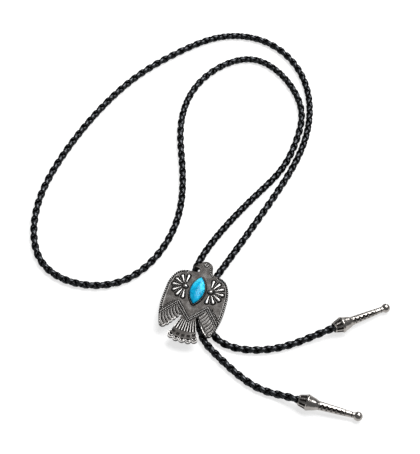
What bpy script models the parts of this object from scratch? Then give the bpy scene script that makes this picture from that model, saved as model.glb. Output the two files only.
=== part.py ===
"""Bolo tie: a cast thunderbird slide with a turquoise stone, on a round braided cord with two metal tips.

The slide lies face up, its head toward +Y and its wings along X, over the middle of the tie.
The cord lies on the ground plane, in one wide loop that passes twice through the clip behind the slide.
"""
import bpy
import bmesh
import numpy as np
from math import ceil, cos, pi, radians, sin
from mathutils import Matrix, Vector

MM = 0.001

# Fits shared by all pieces
PIECE_GAP = 0.0003
RELIEF_ROOT = 0.0005

# Cord
CORD_DIAMETER = 0.004
CORD_END_DEPTH = 0.0034
CORD_TURN_PER_POINT = radians(14)
CORD_POINT_PITCH = 0.019

# Clip behind the slide
CLIP_SHEET = 0.001
CLIP_CLEARANCE = 0.0005
CLIP_STRAND_SPACING = 0.0104
CLIP_LENGTH = 0.0055
CLIP_CENTRE_Y = 0.00975
CLIP_CORNER = 0.0015

# Slide plate, without its relief
PLATE_WIDTH = 0.0364
PLATE_LENGTH = 0.0531
PLATE_THICKNESS = 0.002
PLATE_BACK_Z = CLIP_SHEET + CORD_DIAMETER + 2 * PIECE_GAP
PLATE_TOP_Z = PLATE_BACK_Z + PLATE_THICKNESS

# Stone and its bezel
STONE_LENGTH = 0.0174
STONE_WIDTH = 0.0079
STONE_HEIGHT = 0.0025
STONE_GIRDLE = 0.0007
BEZEL_WALL = 0.0005
BEZEL_HEIGHT = 0.0012

# Relief on the plate
BORDER_DIAMETER = 0.0011
CHEVRON_WIDTH = 0.0011
CHEVRON_HEIGHT = 0.0006
WING_FEATHER_WIDTH = 0.0016
WING_FEATHER_HEIGHT = 0.0005
TAIL_FEATHER_WIDTH = 0.003
TAIL_FEATHER_HEIGHT = 0.0004
PETAL_LENGTH = 0.0057
PETAL_WIDTH = 0.0021
PETAL_HEIGHT = 0.0008
PETAL_REACH = 0.0022
CONCHO_LENGTH = 0.0034
CONCHO_WIDTH = 0.0027
CONCHO_HEIGHT = 0.0013
BEAD_DIAMETER = 0.0009
EYE_RING_DIAMETER = 0.0014
EYE_WIRE_DIAMETER = 0.0005
STAMP_WIDTH = 0.0011
STAMP_HEIGHT = 0.0004

# Tips of the cord
TIP_LENGTH = 0.0359
TIP_RIDGE_DIAMETER = 0.0092
TIP_RIDGE_AT = 0.005
TIP_RIDGE_LAND = 0.0008
TIP_BALL_DIAMETER = 0.0052
TIP_SOCKET_DEPTH = 0.0045
TIP_MOUTH_WALL = 0.0006

# The plate's tables are drawn on a plate of this width and length, and are scaled to the sizes above
DRAWN_WIDTH = 36.4
DRAWN_LENGTH = 53.1
# The drawing's own middle, half way between its tail and the top of its head
DRAWN_MIDDLE_V = 0.85

# Right half of the outline from the tail's middle to the neck: across, along, and the bulge of the
# stretch up to the next point as a share of that stretch
OUTLINE_RIGHT = [
    (0.0, -25.7, 0.16),
    (1.85, -24.4, 0.38),
    (5.35, -23.9, 0.38),
    (8.55, -21.9, 0.12),
    (7.2, -20.0, 0.0),
    (4.2, -9.9, -0.55),
    (5.75, -9.4, 0.25),
    (7.1, -11.4, 0.25),
    (8.4, -13.4, 0.25),
    (9.7, -15.4, 0.25),
    (11.2, -17.3, 0.28),
    (14.6, -18.4, 0.12),
    (15.5, -16.8, 0.02),
    (17.4, -10.0, 0.03),
    (18.2, -2.0, 0.01),
    (17.9, 8.0, 0.06),
    (15.0, 16.0, 0.1),
    (9.8, 19.0, 0.05),
    (6.3, 19.5, -0.15),
]
# The head looks to the left: neck's right side, crown, beak, throat and left shoulder
OUTLINE_HEAD = [
    (5.4, 21.0, -0.04),
    (4.6, 24.4, 0.12),
    (2.4, 26.8, 0.16),
    (-1.6, 27.0, 0.06),
    (-3.8, 24.9, -0.06),
    (-6.1, 23.4, 0.5),
    (-5.8, 22.7, 0.0),
    (-3.6, 22.4, -0.45),
    (-3.5, 19.5, 0.0),
]
OUTLINE_LEFT_SHOULDER = (-7.3, 19.2)

# Relief tables, drawn for the right wing and mirrored
CONCHO_CENTRE = (7.45, 8.7)
PETAL_COUNT = 7
PETAL_FIRST_ANGLE = radians(91)
PETAL_STEP_ANGLE = radians(-30.8)
CHEVRON_LINES = [
    [(0.0, -10.7), (8.55, -1.1), (17.0, -11.1)],
    [(0.0, -12.3), (8.8, -3.0), (16.4, -12.2)],
]
WING_FEATHER_COUNT = 7
# First and last feather of a wing: root, middle and end
WING_FEATHER_FIRST = [(8.7, -4.6), (7.9, -7.0), (6.1, -9.0)]
WING_FEATHER_LAST = [(15.9, -12.7), (15.3, -15.3), (13.6, -17.7)]
# Tail feathers from the middle out: root and end
TAIL_FEATHERS = [
    [(0.0, -14.0), (0.0, -24.1)],
    [(1.3, -13.6), (3.5, -23.8)],
    [(2.6, -12.4), (6.6, -22.3)],
]
STAMP_ROW = [(11.3, -2.6), (12.5, -4.1), (13.7, -5.6), (14.9, -7.1), (16.1, -8.6)]
TAIL_STAMPS = [(1.7, -19.6), (4.6, -19.2)]
EYE_CENTRE = (0.5, 25.1)
NECK_BEADS = [(3.1, 24.2), (3.5, 23.0), (3.8, 21.8), (4.1, 20.6), (4.7, 19.5), (5.8, 18.8)]
STONE_CENTRE = (0.0, 7.4)

# Turned outline of a tip: place as a share of its length, radius as a share of the ridge's radius
TIP_SECTIONS = [
    (0.868, 0.35),
    (0.62, 0.44),
    (0.35, 0.53),
    (0.31, 0.57),
    (0.265, 0.72),
    (0.2, 0.86),
    (0.165, 0.95),
]
# The collar between the mouth and the ridge: place as a share of the ridge's place, radius as above
TIP_COLLAR = (0.7, 0.86)

# Radii of a ridge along its line, as shares of its own: a wing feather's and a tail feather's
WING_FEATHER_TAPER = (0.7, 1.0, 0.6)
TAIL_FEATHER_TAPER = (0.3, 0.9)
# A petal's width at its root and what it gains toward its outer end, as shares of its full width
PETAL_TAPER = (0.35, 0.65)
# How far the stone's pointed oval turns into a plain oval at the top of its dome
STONE_ROUNDING = 0.9

# Each tip lies on the ground at its ridge and at its ball: ridge x, y and ball x, y
TIP_PLACES = {
    "tip_lower": ((75.9, -41.6), (104.4, -41.2)),
    "tip_upper": ((83.3, 9.6), (104.6, 27.8)),
}

# The cord's route in millimetres: x, y and lift of the cord off the ground
CORD_ROUTE = [
    (62.0, -40.7, 1.0),
    (48.0, -39.5, 0.0),
    (18.0, -24.7, 0.0),
    (10.2, -18.2, 0.2),
    (1.2, -3.6, 1.0),
    (-3.4, 1.3, 1.3),
    (-5.15, 6.5, 1.3),
    (-5.25, 13.5, 1.3),
    (-5.7, 24.0, 0.4),
    (14.0, 80.8, 0.0),
    (25.0, 106.0, 0.0),
    (28.1, 131.0, 0.0),
    (23.2, 156.0, 0.0),
    (-11.0, 182.0, 0.0),
    (-31.3, 171.7, 0.0),
    (-43.8, 147.0, 0.0),
    (-43.0, 118.0, 0.0),
    (-33.7, 90.0, 0.0),
    (-26.2, 59.0, 0.0),
    (-28.7, 30.0, 0.0),
    (-44.0, 4.4, 0.0),
    (-70.0, -4.4, 0.0),
    (-93.0, 3.6, 0.0),
    (-107.0, 31.0, 0.0),
    (-107.9, 66.0, 0.0),
    (-84.2, 143.0, 0.0),
    (-61.0, 175.0, 0.0),
    (-37.0, 195.0, 0.0),
    (-10.0, 198.2, 0.0),
    (15.0, 183.0, 0.0),
    (29.4, 156.5, 0.0),
    (32.9, 126.0, 0.0),
    (25.4, 85.0, 0.0),
    (7.9, 24.0, 0.5),
    (5.45, 13.5, 1.3),
    (5.2, 7.0, 1.3),
    (6.5, -0.6, 1.2),
    (19.2, -17.2, 0.0),
    (50.0, -14.0, 0.0),
    (66.5, -3.2, 0.6),
]

# Finish: base colour, roughness, metallic
FINISHES = {
    "antique_silver": ((0.115, 0.107, 0.102), 0.38, 1.0),
    "turquoise": ((0.02, 0.48, 0.80), 0.12, 0.0),
    "plain_steel": ((0.45, 0.45, 0.46), 0.35, 1.0),
    "black_leather": ((0.012, 0.012, 0.013), 0.45, 0.0),
    "tip_silver": ((0.36, 0.35, 0.34), 0.3, 1.0),
}


def clear_scene():
    for obj in list(bpy.data.objects):
        bpy.data.objects.remove(obj, do_unlink=True)


def new_collection(name):
    collection = bpy.data.collections.new(name)
    bpy.context.scene.collection.children.link(collection)
    return collection


def new_material(name):
    colour, roughness, metallic = FINISHES[name]
    material = bpy.data.materials.new(name)
    material.use_nodes = True
    shader = material.node_tree.nodes["Principled BSDF"]
    shader.inputs["Base Color"].default_value = (*colour, 1.0)
    shader.inputs["Roughness"].default_value = roughness
    shader.inputs["Metallic"].default_value = metallic
    return material


def new_object(name, data, collection, finish=None):
    obj = bpy.data.objects.new(name, data)
    collection.objects.link(obj)
    if finish:
        obj.data.materials.append(new_material(finish))
    return obj


def on_plate(point, z=0.0):
    """Place of a drawn point on the plate, at the height z above the ground."""
    x = point[0] * PLATE_WIDTH / DRAWN_WIDTH
    y = (point[1] - DRAWN_MIDDLE_V) * PLATE_LENGTH / DRAWN_LENGTH
    return Vector((x, y, z))


def mirrored(points):
    return [(-point[0], *point[1:]) for point in points]


def arc_points(start, end, bulge, steps=6):
    """Points from start up to, not including, end, on an arc that bulges to the right of the way there."""
    if abs(bulge) < 0.015:
        return [start]
    chord = end - start
    side = Vector((chord.y, -chord.x))
    radius = (0.25 + bulge * bulge) / (2 * abs(bulge))
    reach = bulge - radius * (1 if bulge > 0 else -1)
    centre = start + chord / 2 + side * reach
    arm = start - centre
    half_turn = np.arctan2(0.5, radius - abs(bulge))
    turn = 2 * half_turn * (1 if bulge > 0 else -1)
    return [centre + Matrix.Rotation(turn * step / steps, 2) @ arm for step in range(steps)]


def outline_points():
    """The plate's outline, anticlockwise from the middle of the tail."""
    right = [(Vector(row[:2]), row[2]) for row in OUTLINE_RIGHT]
    head = [(Vector(row[:2]), row[2]) for row in OUTLINE_HEAD]
    left = [(Vector((-row[0], row[1])), row[2]) for row in reversed(OUTLINE_RIGHT[:-1])]
    # A mirrored stretch is walked backwards, so its bulge belongs to the row before it
    left_bulges = [row[2] for row in reversed(OUTLINE_RIGHT[:-2])] + [OUTLINE_RIGHT[0][2]]
    shoulder = [(Vector(OUTLINE_LEFT_SHOULDER), OUTLINE_RIGHT[-2][2])]
    rows = right + head + shoulder + [(row[0], bulge) for row, bulge in zip(left, left_bulges)]
    rows = rows[:-1]
    points = []
    for index, (point, bulge) in enumerate(rows):
        following = rows[(index + 1) % len(rows)][0]
        points += arc_points(point, following, bulge)
    return points


def curve_object(name, points, cyclic, dimensions):
    curve = bpy.data.curves.new(name, "CURVE")
    curve.dimensions = dimensions
    spline = curve.splines.new("POLY")
    spline.points.add(len(points) - 1)
    for spline_point, place in zip(spline.points, points):
        spline_point.co = (*place, 1.0)
    spline.use_cyclic_u = cyclic
    return bpy.data.objects.new(name, curve)


def mesh_of(curve_obj):
    """The curve's closed mesh, in place of the curve."""
    bpy.context.scene.collection.objects.link(curve_obj)
    bpy.context.view_layer.update()
    depsgraph = bpy.context.evaluated_depsgraph_get()
    mesh = bpy.data.meshes.new_from_object(curve_obj.evaluated_get(depsgraph))
    mesh.transform(curve_obj.matrix_world)
    bpy.data.objects.remove(curve_obj, do_unlink=True)
    bm = bmesh.new()
    bm.from_mesh(mesh)
    bmesh.ops.remove_doubles(bm, verts=bm.verts, dist=0.00001)
    bm.to_mesh(mesh)
    bm.free()
    return mesh


def flat_mesh(name, points, bottom_z, top_z):
    """A flat outline between two heights."""
    obj = curve_object(name, [(point.x, point.y, 0.0) for point in points], True, "2D")
    obj.data.fill_mode = "BOTH"
    obj.data.extrude = (top_z - bottom_z) / 2
    obj.location.z = (top_z + bottom_z) / 2
    return mesh_of(obj)


def tube_mesh(name, points, diameter, resolution, radii=None, cyclic=False):
    obj = curve_object(name, points, cyclic, "3D")
    obj.data.bevel_depth = diameter / 2
    obj.data.bevel_resolution = resolution
    obj.data.use_fill_caps = not cyclic
    for spline_point, radius in zip(obj.data.splines[0].points, radii or []):
        spline_point.radius = radius
    return mesh_of(obj)


def marquise_points(length, width, grow, steps=14):
    """Pointed oval of two arcs along Y, moved out by grow, with its tips blunted by a short edge."""
    half_length = length / 2
    half_width = width / 2
    radius = (half_length ** 2 + half_width ** 2) / (2 * half_width)
    offset = radius - half_width
    reach = np.arccos(offset / (radius + grow)) * 0.985
    right = []
    for step in range(steps + 1):
        angle = -reach + 2 * reach * step / steps
        right.append(Vector(((radius + grow) * cos(angle) - offset, (radius + grow) * sin(angle))))
    return right + [-point for point in right]


def add_mesh(bm, mesh):
    bm.from_mesh(mesh)
    bpy.data.meshes.remove(mesh)


def add_ridge(bm, points, width, height, radii=None, resolution=1):
    """A rounded ridge along drawn points, half sunk in the plate's face."""
    places = [on_plate(point) for point in points]
    mesh = tube_mesh("ridge", places, width, resolution, radii)
    flatten = Matrix.Diagonal((1, 1, height / (width / 2), 1))
    mesh.transform(Matrix.Translation((0, 0, PLATE_TOP_Z)) @ flatten)
    add_mesh(bm, mesh)


def add_dome(bm, centre, length, width, height, angle=0.0, segments=12):
    """A domed boss on the plate's face, its length turned by the angle from +X."""
    place = Matrix.Translation(on_plate(centre, PLATE_TOP_Z)) @ Matrix.Rotation(angle, 4, "Z")
    size = Matrix.Diagonal((length, width, 2 * height, 1))
    bmesh.ops.create_uvsphere(bm, u_segments=segments, v_segments=6, radius=0.5, matrix=place @ size)


def add_petal(bm, centre, angle):
    """A teardrop that points back to the concho, wide at its outer end."""
    petal = bmesh.new()
    bmesh.ops.create_uvsphere(petal, u_segments=10, v_segments=6, radius=0.5)
    root, gain = PETAL_TAPER
    for vert in petal.verts:
        vert.co.y *= root + gain * (vert.co.x + 0.5)
    place = Matrix.Translation(on_plate(centre, PLATE_TOP_Z)) @ Matrix.Rotation(angle, 4, "Z")
    reach = Matrix.Translation((PETAL_REACH + PETAL_LENGTH / 2, 0, 0))
    size = Matrix.Diagonal((PETAL_LENGTH, PETAL_WIDTH, 2 * PETAL_HEIGHT, 1))
    bmesh.ops.transform(petal, matrix=place @ reach @ size, verts=petal.verts)
    mesh = bpy.data.meshes.new("petal")
    petal.to_mesh(mesh)
    petal.free()
    add_mesh(bm, mesh)


def add_stamp(bm, centre, angle):
    """A small three-sided mark."""
    place = Matrix.Translation(on_plate(centre, PLATE_TOP_Z)) @ Matrix.Rotation(angle, 4, "Z")
    bmesh.ops.create_cone(
        bm,
        cap_ends=True,
        segments=3,
        radius1=STAMP_WIDTH / 2 * (1 + RELIEF_ROOT / STAMP_HEIGHT),
        radius2=0.15 * STAMP_WIDTH,
        depth=STAMP_HEIGHT + RELIEF_ROOT,
        matrix=place @ Matrix.Translation((0, 0, (STAMP_HEIGHT - RELIEF_ROOT) / 2)),
    )


def between(first, last, share):
    return [(a[0] + (b[0] - a[0]) * share, a[1] + (b[1] - a[1]) * share) for a, b in zip(first, last)]


def wing_border(side):
    """Points just inside the edge, from the shoulder round the wing to its lower outer corner."""
    rows = [(Vector(row[:2]), row[2]) for row in OUTLINE_RIGHT[12:18]]
    points = []
    for (point, bulge), (following, _) in zip(rows, rows[1:]):
        points += arc_points(point, following, bulge, 4)
    points.append(rows[-1][0])
    inset = BORDER_DIAMETER / 2 * DRAWN_WIDTH / PLATE_WIDTH
    line = []
    for index, point in enumerate(points):
        way = points[min(index + 1, len(points) - 1)] - points[max(index - 1, 0)]
        inward = Vector((-way.y, way.x)).normalized()
        moved = point + inward * inset
        line.append((side * moved.x, moved.y))
    return line


def relief_object(collection):
    """All raised ornament of the casting, as one mesh of closed bodies that sink into the plate's face."""
    bm = bmesh.new()
    for side in (1, -1):
        drawn = list if side == 1 else mirrored
        concho = (side * CONCHO_CENTRE[0], CONCHO_CENTRE[1])
        add_dome(bm, concho, CONCHO_LENGTH, CONCHO_WIDTH, CONCHO_HEIGHT, side * radians(15))
        for petal in range(PETAL_COUNT):
            angle = PETAL_FIRST_ANGLE + petal * PETAL_STEP_ANGLE
            add_petal(bm, concho, angle if side == 1 else pi - angle)
        for line in CHEVRON_LINES:
            add_ridge(bm, drawn(line[1:]), CHEVRON_WIDTH, CHEVRON_HEIGHT)
        for feather in range(WING_FEATHER_COUNT):
            line = between(WING_FEATHER_FIRST, WING_FEATHER_LAST, feather / (WING_FEATHER_COUNT - 1))
            add_ridge(bm, drawn(line), WING_FEATHER_WIDTH, WING_FEATHER_HEIGHT, WING_FEATHER_TAPER)
        for line in TAIL_FEATHERS[1:]:
            add_ridge(bm, drawn(line), TAIL_FEATHER_WIDTH, TAIL_FEATHER_HEIGHT, TAIL_FEATHER_TAPER)
        for place in STAMP_ROW:
            add_stamp(bm, (side * place[0], place[1]), radians(90 - 38 * side))
        for place in TAIL_STAMPS:
            add_stamp(bm, (side * place[0], place[1]), radians(90))
        add_ridge(bm, wing_border(side), BORDER_DIAMETER, BORDER_DIAMETER / 2)
    for line in CHEVRON_LINES:
        whole = mirrored(line[1:2]) + line[:2]
        add_ridge(bm, whole, CHEVRON_WIDTH, CHEVRON_HEIGHT)
    add_ridge(bm, TAIL_FEATHERS[0], TAIL_FEATHER_WIDTH, TAIL_FEATHER_HEIGHT, TAIL_FEATHER_TAPER)
    for place in NECK_BEADS:
        add_dome(bm, place, BEAD_DIAMETER, BEAD_DIAMETER, BEAD_DIAMETER / 2, segments=8)
    eye = [on_plate(EYE_CENTRE, PLATE_TOP_Z)] * 10
    ring = []
    for index, centre in enumerate(eye):
        angle = 2 * pi * index / len(eye)
        ring.append(centre + Vector((cos(angle), sin(angle), 0)) * (EYE_RING_DIAMETER / 2))
    add_mesh(bm, tube_mesh("eye_ring", ring, EYE_WIRE_DIAMETER, 1, cyclic=True))
    bezel = marquise_points(STONE_LENGTH, STONE_WIDTH, PIECE_GAP + BEZEL_WALL)
    centre = on_plate(STONE_CENTRE).to_2d()
    wall = [point + centre for point in bezel]
    add_mesh(bm, flat_mesh("bezel", wall, PLATE_TOP_Z - RELIEF_ROOT, PLATE_TOP_Z + BEZEL_HEIGHT))
    mesh = bpy.data.meshes.new("relief")
    bm.to_mesh(mesh)
    bm.free()
    return cutter(new_object("relief", mesh, collection))


def cutter(obj):
    obj.hide_render = True
    obj.display_type = "WIRE"
    return obj


def add_boolean(obj, other, operation):
    modifier = obj.modifiers.new(other.name, "BOOLEAN")
    modifier.operation = operation
    modifier.object = other
    modifier.use_self = operation == "UNION"


def build_plate(parts, cutters):
    """The casting: its flat outline, its relief and the stone's pocket."""
    points = [on_plate(point).to_2d() for point in outline_points()]
    plate = new_object("slide_plate", flat_mesh("slide_plate", points, PLATE_BACK_Z, PLATE_TOP_Z), parts,
                       "antique_silver")
    add_boolean(plate, relief_object(cutters), "UNION")
    centre = on_plate(STONE_CENTRE).to_2d()
    pocket = [point + centre for point in marquise_points(STONE_LENGTH, STONE_WIDTH, PIECE_GAP)]
    pocket_mesh = flat_mesh("stone_pocket", pocket, PLATE_TOP_Z, PLATE_TOP_Z + BEZEL_HEIGHT + PIECE_GAP)
    add_boolean(plate, cutter(new_object("stone_pocket", pocket_mesh, cutters)), "DIFFERENCE")


def rounder(point, share):
    """The stone's outline point, moved toward the plain oval of the same length and width."""
    inside = 2 * Vector((point.x / STONE_WIDTH, point.y / STONE_LENGTH)).length
    return point.lerp(point / inside, share)


def build_stone(parts):
    """A cabochon: a short upright girdle under a dome whose pointed oval rounds toward its top."""
    bottom = PLATE_TOP_Z + PIECE_GAP
    levels = [(0.0, 1.0, 0.0)]
    rings = 6
    for ring in range(rings):
        angle = pi / 2 * ring / rings
        rise = STONE_GIRDLE + (STONE_HEIGHT - STONE_GIRDLE) * sin(angle)
        levels.append((rise, cos(angle), STONE_ROUNDING * sin(angle) ** 2))
    outline = marquise_points(STONE_LENGTH, STONE_WIDTH, 0.0)
    centre = on_plate(STONE_CENTRE, bottom)
    bm = bmesh.new()
    loops = []
    for rise, share, roundness in levels:
        ring = [rounder(point, roundness) * share for point in outline]
        loops.append([bm.verts.new(centre + Vector((*point, rise))) for point in ring])
    top = bm.verts.new(centre + Vector((0, 0, STONE_HEIGHT)))
    bm.faces.new(list(reversed(loops[0])))
    for lower, upper in zip(loops, loops[1:]):
        for index in range(len(outline)):
            following = (index + 1) % len(outline)
            bm.faces.new((lower[index], lower[following], upper[following], upper[index]))
    for index in range(len(outline)):
        bm.faces.new((loops[-1][index], loops[-1][(index + 1) % len(outline)], top))
    mesh = bpy.data.meshes.new("stone")
    bm.to_mesh(mesh)
    bm.free()
    mesh.shade_smooth()
    new_object("stone", mesh, parts, "turquoise")


def clip_half_profile():
    """Right half of the bent strip's section, from the top of its bridge round to the underside."""
    channel = CORD_DIAMETER / 2 + CLIP_CLEARANCE
    middle = CLIP_STRAND_SPACING / 2
    top = PLATE_BACK_Z - PIECE_GAP
    arc_z = CLIP_SHEET + channel
    outer = channel + CLIP_SHEET
    points = [(middle - channel, top)]
    for step in range(13):
        angle = pi + pi * step / 12
        points.append((middle + channel * cos(angle), arc_z + channel * sin(angle)))
    points += [(middle + channel, top), (middle + outer, top)]
    for step in range(5):
        angle = -pi / 2 * step / 4
        points.append((middle + outer - CLIP_CORNER * (1 - cos(angle)), CLIP_CORNER * (1 + sin(angle))))
    for step in range(5):
        angle = -pi / 2 - pi / 2 * step / 4
        points.append((middle - outer + CLIP_CORNER * (1 + cos(angle)), CLIP_CORNER * (1 + sin(angle))))
    points.append((middle - outer, top - CLIP_SHEET))
    return points


def build_clip(parts):
    """A strip bent into two channels for the cord, joined by a bridge that the plate's back sits on."""
    half = clip_half_profile()
    section = [Vector(point) for point in half] + [Vector((-x, z)) for x, z in reversed(half)]
    mesh = flat_mesh("cord_clip", section, -CLIP_LENGTH / 2, CLIP_LENGTH / 2)
    mesh.transform(Matrix.Translation((0, CLIP_CENTRE_Y, 0)) @ Matrix.Rotation(pi / 2, 4, "X"))
    new_object("cord_clip", mesh, parts, "plain_steel")


def tip_frame(name):
    """Mouth of the tip and the way from it to the ball, with ridge and ball on the ground."""
    (ridge_x, ridge_y), (ball_x, ball_y) = TIP_PLACES[name]
    ridge = Vector((ridge_x * MM, ridge_y * MM, TIP_RIDGE_DIAMETER / 2))
    ball = Vector((ball_x * MM, ball_y * MM, TIP_BALL_DIAMETER / 2))
    way = (ball - ridge).normalized()
    return ridge - way * TIP_RIDGE_AT, way


def tip_profile():
    """Outline at +X from the ball's end down to the mouth and into the socket."""
    ball = TIP_BALL_DIAMETER / 2
    ridge = TIP_RIDGE_DIAMETER / 2
    socket = CORD_DIAMETER / 2 + PIECE_GAP
    points = [(0.0, TIP_LENGTH)]
    for step in range(1, 8):
        angle = radians(90 - 20 * step)
        points.append((ball * cos(angle), TIP_LENGTH - ball + ball * sin(angle)))
    points = [point for point in points if point[1] > TIP_LENGTH * TIP_SECTIONS[0][0]]
    for share, radius in TIP_SECTIONS:
        points.append((ridge * radius, TIP_LENGTH * share))
    half_land = TIP_RIDGE_LAND / 2
    points += [(ridge, TIP_RIDGE_AT + half_land), (ridge, TIP_RIDGE_AT - half_land)]
    points.append((ridge * TIP_COLLAR[1], TIP_RIDGE_AT * TIP_COLLAR[0]))
    points.append((socket + TIP_MOUTH_WALL, 0.0))
    points += [(socket, 0.0), (socket, TIP_SOCKET_DEPTH), (0.0, TIP_SOCKET_DEPTH)]
    return points


def build_tip(parts, name):
    """A turned tip: fluted collar, ridge, long taper and end ball, with a blind socket for the cord."""
    mesh = bpy.data.meshes.new(name)
    profile = tip_profile()
    edges = [(index, index + 1) for index in range(len(profile) - 1)]
    mesh.from_pydata([(x, 0.0, z) for x, z in profile], edges, [])
    tip = new_object(name, mesh, parts, "tip_silver")
    screw = tip.modifiers.new("turn", "SCREW")
    screw.axis = "Z"
    screw.steps = 20
    screw.render_steps = 20
    screw.use_merge_vertices = True
    screw.merge_threshold = 0.00001
    mouth, way = tip_frame(name)
    tip.location = mouth
    tip.rotation_euler = way.to_track_quat("Z", "Y").to_euler()


def smooth_route(points):
    """A natural cubic curve through the points: a list of spans, each a function of a share 0 to 1."""
    places = np.array(points)
    steps = np.linalg.norm(np.diff(places, axis=0), axis=1) ** 0.75
    count = len(places)
    system = np.eye(count)
    target = np.zeros_like(places)
    for i in range(1, count - 1):
        system[i, i - 1:i + 2] = (steps[i - 1], 2 * (steps[i - 1] + steps[i]), steps[i])
        ahead = (places[i + 1] - places[i]) / steps[i]
        behind = (places[i] - places[i - 1]) / steps[i - 1]
        target[i] = 6 * (ahead - behind)
    bends = np.linalg.solve(system, target)

    def point_at(span, share):
        step = steps[span]
        left = 1 - share
        straight = left * places[span] + share * places[span + 1]
        bow = (left ** 3 - left) * bends[span] + (share ** 3 - share) * bends[span + 1]
        return straight + bow * step ** 2 / 6

    return count - 1, point_at


def cord_points():
    """Points of the cord's tube from tip to tip, closer together where it bends."""
    radius = CORD_DIAMETER / 2
    ends = []
    for name in ("tip_lower", "tip_upper"):
        mouth, way = tip_frame(name)
        ends.append([mouth + way * CORD_END_DEPTH, mouth - way * MM])
    route = [(x * MM, y * MM, radius + lift * MM) for x, y, lift in CORD_ROUTE]
    whole = [tuple(place) for place in ends[0]] + route + [tuple(place) for place in reversed(ends[1])]
    spans, point_at = smooth_route(whole)
    points = []
    for span in range(spans):
        fine = np.array([point_at(span, share) for share in np.linspace(0, 1, 13)])
        legs = np.diff(fine, axis=0)
        length = np.linalg.norm(legs, axis=1).sum()
        turn = Vector(legs[0]).angle(Vector(legs[-1]))
        pieces = max(1, ceil(turn / CORD_TURN_PER_POINT), round(length / CORD_POINT_PITCH))
        points += [point_at(span, piece / pieces) for piece in range(pieces)]
    points.append(point_at(spans - 1, 1.0))
    return [(x, y, max(z, radius)) for x, y, z in points]


def build_cord(parts):
    mesh = tube_mesh("cord", cord_points(), CORD_DIAMETER, 3)
    mesh.shade_smooth()
    new_object("cord", mesh, parts, "black_leather")


def main():
    clear_scene()
    parts = new_collection("bolo_tie")
    cutters = new_collection("cutters")
    build_plate(parts, cutters)
    build_stone(parts)
    build_clip(parts)
    build_cord(parts)
    for name in TIP_PLACES:
        build_tip(parts, name)


main()
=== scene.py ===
"""Dresses the bolo tie: cast slide, stone, clip, braided cord, stamped tips and the stage."""

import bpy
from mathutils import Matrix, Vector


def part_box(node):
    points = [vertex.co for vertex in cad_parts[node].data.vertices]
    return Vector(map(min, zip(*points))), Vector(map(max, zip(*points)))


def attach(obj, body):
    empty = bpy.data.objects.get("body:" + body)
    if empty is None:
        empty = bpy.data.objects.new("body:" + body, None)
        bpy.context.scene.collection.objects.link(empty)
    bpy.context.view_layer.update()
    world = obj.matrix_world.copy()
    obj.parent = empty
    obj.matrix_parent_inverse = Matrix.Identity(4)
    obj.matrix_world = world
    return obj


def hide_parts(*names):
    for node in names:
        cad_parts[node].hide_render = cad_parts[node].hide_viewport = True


bl_info = {
    "name": "Bolo Tie Dresser",
    "version": (1, 0, 0),
    "blender": (4, 5, 0),
    "location": "View3D > Sidebar > Bolo Tie",
    "description": "Builds the finished look of a bolo tie over its packed solids",
    "category": "Object",
}

from math import cos, pi, radians, sin

import bpy
import numpy as np
from bpy.props import FloatProperty, FloatVectorProperty, IntProperty, PointerProperty
from bpy.types import Operator, Panel, PropertyGroup
from mathutils import Matrix, Vector

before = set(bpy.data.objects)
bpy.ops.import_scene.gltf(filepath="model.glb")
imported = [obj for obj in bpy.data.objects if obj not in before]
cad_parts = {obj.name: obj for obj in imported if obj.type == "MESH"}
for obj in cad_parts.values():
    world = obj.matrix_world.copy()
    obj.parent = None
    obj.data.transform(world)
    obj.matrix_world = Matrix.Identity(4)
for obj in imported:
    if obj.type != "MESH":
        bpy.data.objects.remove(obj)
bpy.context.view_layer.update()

MM = 0.001
BODY = "root"
PLATE_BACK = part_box("slide_plate")[0].z
STONE_LOW, STONE_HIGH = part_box("stone")

# The slide's drawing is in millimetres on a plate this wide and long, with its middle at this height
DRAWN_WIDTH = 36.4
DRAWN_LENGTH = 53.1
DRAWN_MIDDLE_V = 0.85

# Right half of the outline from the tail's middle to the neck: across, along, and the bulge of the
# stretch up to the next point as a share of that stretch
OUTLINE_RIGHT = [
    (0.0, -25.7, 0.16),
    (1.85, -24.4, 0.38),
    (5.35, -23.9, 0.38),
    (8.55, -21.9, 0.12),
    (7.2, -20.0, 0.0),
    (4.2, -9.9, -0.55),
    (5.75, -9.4, 0.25),
    (7.1, -11.4, 0.25),
    (8.4, -13.4, 0.25),
    (9.7, -15.4, 0.25),
    (11.2, -17.3, 0.28),
    (14.6, -18.4, 0.12),
    (15.5, -16.8, 0.02),
    (17.4, -10.0, 0.03),
    (18.2, -2.0, 0.01),
    (17.9, 8.0, 0.06),
    (15.0, 16.0, 0.1),
    (9.8, 19.0, 0.05),
    (6.3, 19.5, -0.15),
]
# The head looks to the left: neck's right side, crown, beak, throat and left shoulder
OUTLINE_HEAD = [
    (5.4, 21.0, -0.04),
    (4.6, 24.4, 0.12),
    (2.4, 26.8, 0.16),
    (-1.6, 27.0, 0.06),
    (-3.8, 24.9, -0.06),
    (-6.1, 23.4, 0.5),
    (-5.8, 22.7, 0.0),
    (-3.6, 22.4, -0.45),
    (-3.5, 19.5, 0.0),
]
OUTLINE_LEFT_SHOULDER = (-7.3, 19.2)
# Rows of the right half along which the rope edge and the bright rims of tail and wing run
ROPE_ROWS = slice(12, 18)
TAIL_RIM_ROWS = slice(0, 5)
WING_RIM_ROWS = slice(6, 13)
# Spacing of the points on the cast outline, and on its stretches that carry an ornament
OUTLINE_STEP = 0.3
EDGE_STEP = 1.0
# Length of one strand of the rope edge, how far the strands ripple the outline, how far it steps back
# for them, and how near the rope's line a point of it has to be
ROPE_PITCH = 1.35
ROPE_RIPPLE = 0.19
ROPE_STEP_BACK = 0.06
ROPE_NEAR = 0.05

CONCHO_CENTRE = (7.45, 8.7)
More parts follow.
